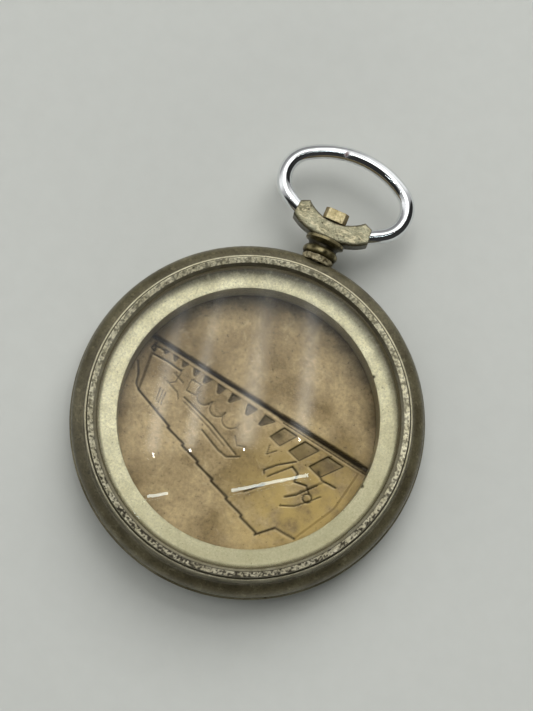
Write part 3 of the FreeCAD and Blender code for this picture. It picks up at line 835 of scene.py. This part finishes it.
def make_back_cover():
    """The stamped back: a fine inner floor and a coarser outside, both with the relief."""
    inner, faces, inner_rim = disc_grid(FIELD_RADIUS, FLOOR_CELLS)
    outer, outer_faces, outer_rim = disc_grid(FIELD_RADIUS - RELIEF_DEPTH, FLOOR_CELLS // 2)
    depth, dark = relief_sunk(inner)
    outer_depth, outer_dark = relief_sunk(outer)
    # A painted highlight: a pale line beside each dark line of the relief, offset by a fixed step as if lit
    # along one edge.
    painted_highlight = unit(relief_sunk(inner + PAINTED_HIGHLIGHT_STEP)[1] - dark)
    raised = np.clip(RELIEF_DEPTH - outer_depth, 0, RELIEF_DEPTH)
    bore = CASE_RADIUS - BACK_WALL
    foot, inner_foot = (FOOT_OUTER, 0), (FOOT_OUTER, FLOOR_TOP)
    inner_edge = rise_radius(BACK_EDGE_WIDTH - BACK_WALL, EDGE_TOP - FLOOR_TOP)
    outer_edge = rise_radius(BACK_EDGE_WIDTH, EDGE_TOP)
    rim = [
        (bore, EDGE_TOP), (bore, BACK_HEIGHT, 0.08 * MM), (CASE_RADIUS, BACK_HEIGHT, 0.16 * MM),
        (CASE_RADIUS, EDGE_TOP),
    ]
    inside = [inner_foot] + arc_points(inner_foot, (bore, EDGE_TOP), inner_edge, 1, 8)
    inside += softened(rim[:3], False)[:-1]
    outside = softened(rim[1:], False)[1:] + arc_points((CASE_RADIUS, EDGE_TOP), foot, outer_edge, -1, 12)
    outside += [foot, (FIELD_RADIUS, 0)]
    points = [*np.column_stack([inner, FLOOR_TOP - depth]), *np.column_stack([outer, raised])]
    rings = [inner_rim]
    for number, (radius, height) in enumerate(inside + outside):
        count = FLOOR_CELLS * (4 if number < len(inside) else 2)
        rings.append(range(len(points), len(points) + count))
        points += circle(radius, height, count)
    rings.append([len(inner) + n for n in outer_rim])
    faces += [tuple(len(inner) + n for n in face) for face in outer_faces] + bridged(rings)
    mesh = smooth_mesh(points, faces)
    place = np.array(points)
    radius = np.linalg.norm(place[:, :2], axis=1)
    number = np.arange(len(points))
    on_inner_rings = (number >= rings[1][0]) & (number < rings[len(inside) + 1][0])
    indoors = (number < len(inner)) | on_inner_rings & (radius < bore + 0.05 * MM)
    plain = np.zeros(len(points) - len(inner) - len(outer))
    mark(mesh, "inside", indoors)
    # The relief's dark lines: tarnish and painted shade in the sunk lines, and dark window panes.
    mark(mesh, "groove", np.concatenate([dark, outer_dark * 0.6, plain]))
    mark(mesh, "painted_highlight", np.concatenate([painted_highlight, outer_dark * 0, plain]))
    # Painted shade on the inner floor: darkened next to the ring's opening, in a band far wider and darker on
    # the far side, where the ring would shade the floor.
    far = unit(place[:, 1] / FIELD_RADIUS)
    corner = (radius - OPENING_RADIUS) / ((0.6 + 4.2 * far) * MM) + 1
    mark(mesh, "grime_and_shade", indoors * unit(corner) * (0.25 + 0.75 * far))
    mark(mesh, "gold", indoors * (1.5 - np.linalg.norm(place[:, :2] - GOLD_PLACE, axis=1) / GOLD_REACH))
    new_piece("back_cover_stamped", mesh, back_material(), "back", "back_cover")


# ---- case ----

def make_movement_ring():
    """The pale ring, with eased edges, two nicks in its inner edge, grime at its outer edge, and painted
    shade on its inner wall, under the bezel at the far side and towards the near side.
    """
    skirt, ease = OPENING_RADIUS + RING_THICKNESS, 0.07 * MM
    top, seat = RING_HIGH.z, RING_HIGH.z - RING_THICKNESS
    corners = [
        (OPENING_RADIUS, RING_LOW.z, ease), (skirt, RING_LOW.z, ease), (skirt, seat),
        (RING_HIGH.x, seat, ease), (RING_HIGH.x, top, ease), (OPENING_RADIUS, top, ease),
    ]
    mesh = turned(divided(softened(corners), 0.4 * MM), RING_SEGMENTS)
    place = read_points(mesh)
    radius = np.linalg.norm(place[:, :2], axis=1)
    dent = np.zeros(len(place))
    for turn, size in RING_DENTS:
        angle = math.radians(turn)
        spot = (OPENING_RADIUS * math.cos(angle), OPENING_RADIUS * math.sin(angle), top)
        dent = np.maximum(dent, 1 - np.linalg.norm(place - spot, axis=1) / size)
    sink(mesh, 0.2 * MM * dent)
    # Painted shade on the ring's inner wall, and over its outer part in a band far wider towards the far
    # side, where the bezel would shade it; grime in the nicks, round the inner edge and in the narrow outer
    # band on the near side.
    wall = top - place[:, 2] > 0.06 * MM
    width = 0.35 * MM + 1.9 * MM * unit(place[:, 1] / RING_HIGH.x)
    outside = unit((radius - RING_GRIME_AND_SHADE_RADIUS) / width + 1)
    edge = unit(1 - (radius - OPENING_RADIUS) / (0.16 * MM)) * cloud(place, 0.9 * MM, 61) * 0.5
    mark(mesh, "grime_and_shade", np.maximum.reduce([0.55 * wall, outside, dent * 1.5, edge]))
    # Painted shade: the ring is darkened towards the near side, away from the key.
    mark(mesh, "stain", np.clip(0.1 + 0.6 * towards(place, RING_SHADE_TURN) / OPENING_RADIUS, 0, 0.7))
    new_piece("movement_ring_satin", mesh, ring_material(), "case", "movement_ring")


def make_bezel():
    """The bezel: thin bright lip, dark groove, pitted band and inner bevel, all with worn edges."""
    lip_z = BEZEL_TOP - BEZEL_LIP_HEIGHT
    lip_outer = BEZEL_RADIUS - BEZEL_LEAN
    bore = BEZEL_RADIUS - BEZEL_WALL
    ledge_base = BEZEL_BASE + BEZEL_SPIGOT
    seat = LIP_RADIUS + CRYSTAL_SEAT_DEPTH
    crystal_base = ledge_base + CRYSTAL_LEDGE
    ease = 0.07 * MM
    corners = [
        (bore, BEZEL_BASE, ease), (BEZEL_RADIUS, BEZEL_BASE, ease), (lip_outer, lip_z, 0.14 * MM),
        (TOP_RADIUS, lip_z - BEZEL_GROOVE_DEPTH / 4, 0.05 * MM), (TOP_RADIUS, BEZEL_TOP, 0.1 * MM),
        (BEVEL_RADIUS, BEZEL_TOP - BEZEL_BAND_SLOPE, 0.08 * MM), (LIP_RADIUS, LIP_BASE, 0.04 * MM),
        (seat, LIP_BASE), (seat, crystal_base), (LIP_RADIUS, crystal_base, 0.04 * MM),
        (LIP_RADIUS, ledge_base, 0.04 * MM), (bore, ledge_base),
    ]
    mesh = turned(divided(softened(corners), 0.14 * MM), BEZEL_SEGMENTS)
    place = read_points(mesh)
    radius, height = np.linalg.norm(place[:, :2], axis=1), place[:, 2]
    on_band = unit((TOP_RADIUS + 0.02 * MM - radius) / (0.05 * MM))
    on_band *= unit((radius - BEVEL_RADIUS + 0.1 * MM) / (0.1 * MM))
    on_band *= height > BEZEL_TOP - BEZEL_BAND_SLOPE - 0.1 * MM
    worn = unit(pits(place, 0.42 * MM, 3, 0.6) * cloud(place, 1.1 * MM, 8) + 0.7 * pits(place, 0.22 * MM, 11))
    sink(mesh, 0.055 * MM * worn * on_band + 0.012 * MM * cloud(place, 0.5 * MM, 5) * (1 - on_band))
    high = height > lip_z - 0.2 * MM
    groove = unit(1.6 - np.abs(radius - TOP_RADIUS - 0.14 * MM) / (0.13 * MM)) * high
    below = (radius < BEVEL_RADIUS + 0.02 * MM) & (height < BEZEL_TOP - BEZEL_BAND_SLOPE + 0.02 * MM)
    # Painted shade down the outer flank below the lip.
    flank = (height < lip_z - 0.1 * MM) & (radius > bore + 0.3 * MM)
    blotch = np.clip(2.6 * cloud(place, 0.24 * MM, 29) - 1.15, 0, 0.7) * on_band
    lip = unit(1 - np.abs(radius - lip_outer + 0.06 * MM) / (0.14 * MM)) * high
    # Painted shade on the inner wall under the band, darker towards the far side.
    inner_wall_shade = 0.62 + 0.33 * unit(place[:, 1] / BEZEL_RADIUS)
    tarnish = np.maximum.reduce([
        1.1 * worn * on_band, blotch, groove, inner_wall_shade * below, 0.55 * lip,
        flank * (0.6 + 0.3 * cloud(place, 1.5 * MM, 21)),
    ])
    # Painted shade: the band and the lip are darker towards the near side.
    near = unit(towards(place, BEZEL_SHADE_TURN) / BEZEL_RADIUS)
    mark(mesh, "tarnish", tarnish + near * (0.6 * on_band + 0.3 * lip))
    # The lip's bright rubbed metal is wear; its dimming towards the near side is painted shade.
    broken = unit(1.6 * cloud(place, 1.1 * MM, 33) * cloud(place, 6 * MM, 34))
    mark(mesh, "rubbed", 0.85 * lip * broken * (1 - 0.7 * near))
    new_piece("bezel_worn", mesh, bezel_material(), "bezel_with_crystal", "bezel")


def make_crystal():
    """The domed crystal with its flange in the bezel's groove."""
    dome = LIP_RADIUS - CRYSTAL_GAP
    under = dome - CRYSTAL_THICKNESS / 2
    base, flange = CRYSTAL_LOW.z, CRYSTAL_LOW.z + CRYSTAL_EDGE
    rise = CRYSTAL_HIGH.z - flange
    rise_inside = rise + CRYSTAL_EDGE - CRYSTAL_THICKNESS
    edge = CRYSTAL_HIGH.y
    outline = [(0, CRYSTAL_HIGH.z)]
    outline += arc_points((0, CRYSTAL_HIGH.z), (dome, flange), rise_radius(dome, rise), -1, 40)
    ease = 0.06 * MM
    outline += softened([(dome, flange), (edge, flange, ease), (edge, base, ease), (under, base)], False)
    outline += arc_points((under, base), (0, base + rise_inside), rise_radius(under, rise_inside), 1, 40)
    outline += [(0, base + rise_inside)]
    mesh = turned(outline, CRYSTAL_SEGMENTS, closed=False)
    place = read_points(mesh)
    radius = np.linalg.norm(place[:, :2], axis=1)
    bulge = rise_radius(dome, rise)
    outer = CRYSTAL_HIGH.z - bulge + np.sqrt(bulge**2 - np.minimum(radius, dome) ** 2)
    mark(mesh, "inner", outer - place[:, 2] > 0.3 * MM)
    # Painted shade round the rim, where the crystal meets the bezel.
    mark(mesh, "rim", 0.8 * unit((radius - dome + 0.3 * MM) / (0.3 * MM)))
    new_piece("crystal_dome", mesh, crystal_material(), "bezel_with_crystal", "crystal")


# ---- pendant ----

def make_neck():
    """The neck: stub, bead, waist and cup, turned about Z and then laid along the pendant."""
    bead_end = BEAD_START + BEAD_WIDTH
    cup_start = bead_end + WAIST_WIDTH
    top = NECK_HIGH.y
    counter_end = NECK_LOW.y + NECK_COUNTERBORE_LENGTH
    ease = 0.06 * MM
    corners = [
        (NECK_COUNTERBORE, NECK_LOW.y), (STUB_RADIUS, NECK_LOW.y, ease), (STUB_RADIUS, BEAD_START),
        (BEAD_SIDE_RADIUS, BEAD_START, ease),
    ]
    bead = rise_radius(BEAD_WIDTH / 2, BEAD_RADIUS - BEAD_SIDE_RADIUS)
    corners += arc_points((BEAD_SIDE_RADIUS, BEAD_START), (BEAD_SIDE_RADIUS, bead_end), bead, 1, 12)
    flare = 1.5 * (top - CUP_RIM - cup_start)
    corners += [
        (BEAD_SIDE_RADIUS, bead_end, ease), (WAIST_RADIUS, bead_end, ease), (WAIST_RADIUS, cup_start, ease),
    ]
    corners += arc_points((WAIST_RADIUS, cup_start), (CUP_RADIUS, top - CUP_RIM), flare, -1, 8)
    corners += [
        (CUP_RADIUS, top - CUP_RIM, ease), (CUP_RADIUS, top, ease), (NECK_BORE, top, ease),
        (NECK_BORE, counter_end), (NECK_COUNTERBORE, counter_end),
    ]
    mesh = turned(divided(softened(corners), 0.15 * MM), NECK_SEGMENTS)
    laid = Matrix.Rotation(math.radians(-90), 4, "X")
    mesh.transform(Matrix.Translation((0, 0, PENDANT_HEIGHT)) @ laid)
    place = read_points(mesh)
    outside = place[:, 1] > BEAD_START - 0.2 * MM
    sink(mesh, outside * (0.03 * MM * cloud(place, 0.5 * MM, 2) + 0.03 * MM * pits(place, 0.5 * MM, 17)))
    reach = np.hypot(place[:, 0], place[:, 2] - PENDANT_HEIGHT)
    proud = unit((reach - (BEAD_RADIUS - 0.16 * MM)) / (0.16 * MM))
    mark(mesh, "rubbed", 0.8 * proud * unit(2 * cloud(place, 0.6 * MM, 23) - 0.5))
    mark(mesh, "tarnish", 0.85 * unit((BEAD_SIDE_RADIUS + 0.12 * MM - reach) / (0.2 * MM)))
    new_piece("pendant_neck_turned", mesh, neck_material(), "case", "pendant_neck")


def make_solder():
    """The lumpy solder round the neck's foot."""
    mesh = dense_copy("solder_fillet", 0.07 * MM, 4)
    place = read_points(mesh)
    lumps = cloud(place, 0.45 * MM, 9) * 0.6 + cloud(place, 0.2 * MM, 10) * 0.4
    sink(mesh, 0.22 * MM * lumps)
    mark(mesh, "tarnish", (lumps - 0.5) * 4)
    new_piece("solder_lumps", mesh, solder_material(), "case", "solder_fillet")


def pitted_copy(name, node, material, seed):
    """A dense copy of a CAD node with pitted faces, dark in its pits, with painted shade down its sides."""
    mesh = dense_copy(node, 0.065 * MM, 5)
    place = read_points(mesh)
    worn = pits(place, 0.5 * MM, seed, 0.45) * cloud(place, 1.3 * MM, seed + 5)
    sink(mesh, 0.09 * MM * worn)
    # Painted shade: faces that turn away from straight up are darkened.
    turned_away = np.clip(3.0 - 3.1 * np.abs(read_points(mesh, "normal")[:, 2]), 0, 0.95)
    sides = turned_away * (0.7 + 0.3 * cloud(place, 0.7 * MM, seed + 9))
    mark(mesh, "tarnish", np.maximum(worn * 1.3, sides))
    new_piece(name, mesh, material, "bow_swivel_group", node)


def bow_route(count):
    """Points along the bow's oval from one end in the saddle round to the other."""
    a, b, tight = BOW_HALF_WIDTH, BOW_HALF_HEIGHT, BOW_SIDE_RADIUS
    wide = (a * a + b * b - 2 * a * tight) / (2 * (b - tight))
    turn = math.atan2(a - tight, wide - b)
    first = math.asin(BOW_END / wide)
    spans = [wide * (turn - first), tight * (math.pi - 2 * turn), 2 * wide * turn]
    spans += [spans[1], spans[0]]
    low, high = BOW_CENTRE_Y + wide - b, BOW_CENTRE_Y - wide + b
    centres = [(0, low), (a - tight, BOW_CENTRE_Y), (0, high), (tight - a, BOW_CENTRE_Y), (0, low)]
    right, left = math.pi / 2, 1.5 * math.pi
    starts = [first - right, turn - right, right - turn, right + turn, left - turn]
    radii = [wide, tight, wide, tight, wide]
    route = []
    for span, centre, start, radius in zip(spans, centres, starts, radii):
        pieces = max(2, round(count * span / sum(spans)))
        for k in range(pieces):
            angle = start + span / radius * k / pieces
            route.append(Vector((centre[0] + radius * math.cos(angle), centre[1] + radius * math.sin(angle))))
    route.append(Vector((-BOW_END, route[0].y)))
    return route


def make_bow():
    """The chromed wire bow, round in section and closed at its hidden ends."""
    route = bow_route(BOW_POINTS)
    points = []
    for i, here in enumerate(route):
        ahead = (route[min(i + 1, len(route) - 1)] - route[max(i - 1, 0)]).normalized()
        outward = Vector((ahead.y, -ahead.x))
        for out, up, _ in circle(BOW_WIRE_RADIUS, 0, BOW_SIDES):
            points.append((*(here + outward * out), PENDANT_HEIGHT + up))
    rings = [range(i * BOW_SIDES, (i + 1) * BOW_SIDES) for i in range(len(route))]
    mesh = smooth_mesh(points, bridged(rings) + [tuple(rings[0]), tuple(rings[-1])])
    place = read_points(mesh)
    away = np.linalg.norm(place - np.array(BOW_SPOT), axis=1)
    mark(mesh, "spot", 1.6 - away / (0.45 * MM) - 0.8 * cloud(place, 0.3 * MM, 4))
    new_piece("bow_chromed", mesh, chrome_material(), "bow_swivel_group", "bow")


# ---- camera, table and light ----

CAMERA_AIM = Vector((-1.15, 8.95, 7.47)) * MM
CAMERA_TURN, CAMERA_ELEVATION, CAMERA_ROLL = 9.2065, 80.7203, 14.167
CAMERA_DISTANCE = 252 * MM
CAMERA_LENS = 91.617
TABLE_SIZE = 4.0
WINDOW_TURN = 226
LAMP_AIM = Vector((0, 0, 5 * MM))
ROOM_LEVELS = (
    (0.0, 0.04), (1.0, 0.20), (0.49, 0.02), (0.53, 0.38), (0.60, 0.55), (0.69, 1.05), (0.77, 1.00),
    (0.87, 0.36), (0.975, 0.25),
)
STRIPS = ((-0.36, -0.22, 0.06), (-0.20, -0.133, 0.05), (0.02, -0.033, 0.075), (0.23, 0.11, 0.07))
STRIP_RUN = (-0.25, 0.97)
STRIP_LENGTH = 1.13
STRIP_LEVEL = 3.7
KEY_PLACE = 184, 46
KEY_DISTANCE = 1.1
KEY_SIZE = 1.0, 0.7
KEY_BRIGHTNESS = 3.8
FILL_PLACE = 20, 7
FILL_DISTANCE = 1.2
FILL_SIZE = 1.2, 0.5
FILL_BRIGHTNESS = 4.2
CEILING_HEIGHT = 1.5
TUBE_ENDS = (((-0.48, -0.63), (-0.34, -0.54)), ((0.06, -0.335), (0.50, -0.03)))
TUBE_WIDTH = 0.021
TUBE_BRIGHTNESS = 14.5
TUBE_COLOUR = 0.85, 0.98, 1.0
SPOTS = ((301.6, 67.1), (303.0, 76.5), (31.4, 87.9), (115.5, 75.7))
SPOT_APART = 0.9
SPOT_SIZE = 0.0145, 0.0145
SPOT_BRIGHTNESS = 34.0


def stood(place, x_axis, y_axis, z_axis):
    """The matrix of an object at a place, with its own axes along these."""
    return Matrix.Translation(place) @ Matrix((x_axis, y_axis, z_axis)).transposed().to_4x4()


def make_camera():
    data = bpy.data.cameras.new("camera")
    data.lens = CAMERA_LENS
    data.clip_start, data.clip_end = 0.01, 20
    camera = shown("camera", data)
    back = direction(CAMERA_TURN, CAMERA_ELEVATION)
    level = direction(CAMERA_TURN + 90, 0)
    roll = math.radians(CAMERA_ROLL)
    right = level * math.cos(roll) + back.cross(level) * math.sin(roll)
    camera.matrix_world = stood(CAMERA_AIM + back * CAMERA_DISTANCE, right, back.cross(right), back)
    bpy.context.scene.camera = camera


def make_table():
    mesh = bpy.data.meshes.new("table")
    half = TABLE_SIZE / 2
    corners = [(-half, -half, 0), (half, -half, 0), (half, half, 0), (-half, half, 0)]
    mesh.from_pydata(corners, [], [(0, 1, 2, 3)])
    mesh.materials.append(table_material())
    table = shown("table", mesh)


def make_world():
    """A room that is bright from overhead to the far side and dark on the near side, where somebody
    stands, with soft long strips of light across its ceiling. The camera sees a plain pale backdrop.
    """
    world = bpy.data.worlds.new("room")
    bpy.context.scene.world = world
    world.use_nodes = True
    nodes = Nodes(world.node_tree)
    towards = nodes.node("TexCoord").outputs["Generated"]
    ramp = nodes.node("ValToRGB")
    stops = ramp.color_ramp.elements
    for number, (position, level) in enumerate(ROOM_LEVELS):
        stop = stops[number] if number < 2 else stops.new(position)
        stop.position, stop.color = position, (level, level, level * 0.985, 1)
    nodes.link(nodes.spread(nodes.dot(towards, direction(WINDOW_TURN, 0)), -1, 1), ramp.inputs["Fac"])
    up = nodes.maths("MAXIMUM", nodes.dot(towards, (0, 0, 1)), 0.1)
    run = Vector((*STRIP_RUN, 0)).normalized()
    side_step = Vector((-run.y, run.x, 0))
    along = nodes.maths("DIVIDE", nodes.dot(towards, run), up)
    across = nodes.maths("DIVIDE", nodes.dot(towards, side_step), up)
    light = ramp.outputs["Color"]
    for x, y, width in STRIPS:
        start = Vector((x, y, 0))
        away = nodes.maths("ABSOLUTE", nodes.maths("SUBTRACT", across, start.dot(side_step)))
        strip = nodes.spread(away, 0, width, 1, 0, smooth=True)
        from_end = nodes.maths("SUBTRACT", along, start.dot(run))
        strip = nodes.maths("MULTIPLY", strip, nodes.spread(from_end, -0.01, 0.05, smooth=True))
        strip = nodes.maths("MULTIPLY", strip, nodes.spread(from_end, 0.1, STRIP_LENGTH, 1, 0, smooth=True))
        light = nodes.mix(strip, light, (STRIP_LEVEL, STRIP_LEVEL, STRIP_LEVEL * 0.97, 1), "ADD")
    path = nodes.node("LightPath")
    seen = nodes.mix(path.outputs["Is Camera Ray"], light, (205, 206, 203))
    nodes.link(seen, nodes.tree.nodes["Background"].inputs["Color"])


def make_lamp(name, place, size, brightness, shape="RECTANGLE"):
    """A lamp that faces the case: brightness is its own radiance, so 1 looks white. size is wide, high."""
    data = bpy.data.lights.new(name, "AREA")
    data.shape = shape
    data.size, data.size_y = size
    data.energy = brightness * math.pi * data.size * data.size_y
    lamp = shown(name, data)
    turn = (place - LAMP_AIM).to_track_quat("Z", "Y")
    lamp.matrix_world = Matrix.Translation(place) @ turn.to_matrix().to_4x4()
    return lamp


def make_tube(name, start, end):
    """A thin straight lamp on the ceiling from start to end, which shines down."""
    start, end = Vector((*start, CEILING_HEIGHT)), Vector((*end, CEILING_HEIGHT))
    middle, up = (start + end) / 2, Vector((0, 0, 1))
    along = (end - start).normalized()
    tube = make_lamp(name, middle, ((end - start).length, TUBE_WIDTH), TUBE_BRIGHTNESS)
    tube.matrix_world = stood(middle, along, up.cross(along), up)
    tube.data.color = TUBE_COLOUR


def light_scene():
    """The room, a large soft key from the far side, a low fill from the near side, and small bright
    lamps for the crystal's glints.
    """
    make_world()
    key = make_lamp("key", direction(*KEY_PLACE) * KEY_DISTANCE, KEY_SIZE, KEY_BRIGHTNESS)
    fill = make_lamp("fill", direction(*FILL_PLACE) * FILL_DISTANCE, FILL_SIZE, FILL_BRIGHTNESS)
    for lamp in (key, fill):
        lamp.visible_glossy = lamp.visible_transmission = False
    for number, (start, end) in enumerate(TUBE_ENDS):
        make_tube(f"tube_{number}", start, end)
    for number, (turn, elevation) in enumerate(SPOTS):
        for step in (-1, 1):
            place = direction(turn + step * SPOT_APART, elevation) * CEILING_HEIGHT
            make_lamp(f"spot_{number}_{step}", place, SPOT_SIZE, SPOT_BRIGHTNESS, "ELLIPSE")


# ---- build ----

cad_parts["mid_case"].data.materials[0] = shoulder_material()
make_back_cover()
make_movement_ring()
make_bezel()
make_crystal()
make_neck()
make_solder()
pitted_copy("bow_saddle_worn", "bow_saddle", saddle_material(), 31)
pitted_copy("pendant_post_worn", "pendant_post", post_material(), 47)
make_bow()
make_camera()
make_table()
light_scene()
bpy.context.scene.view_settings.view_transform = "Standard"
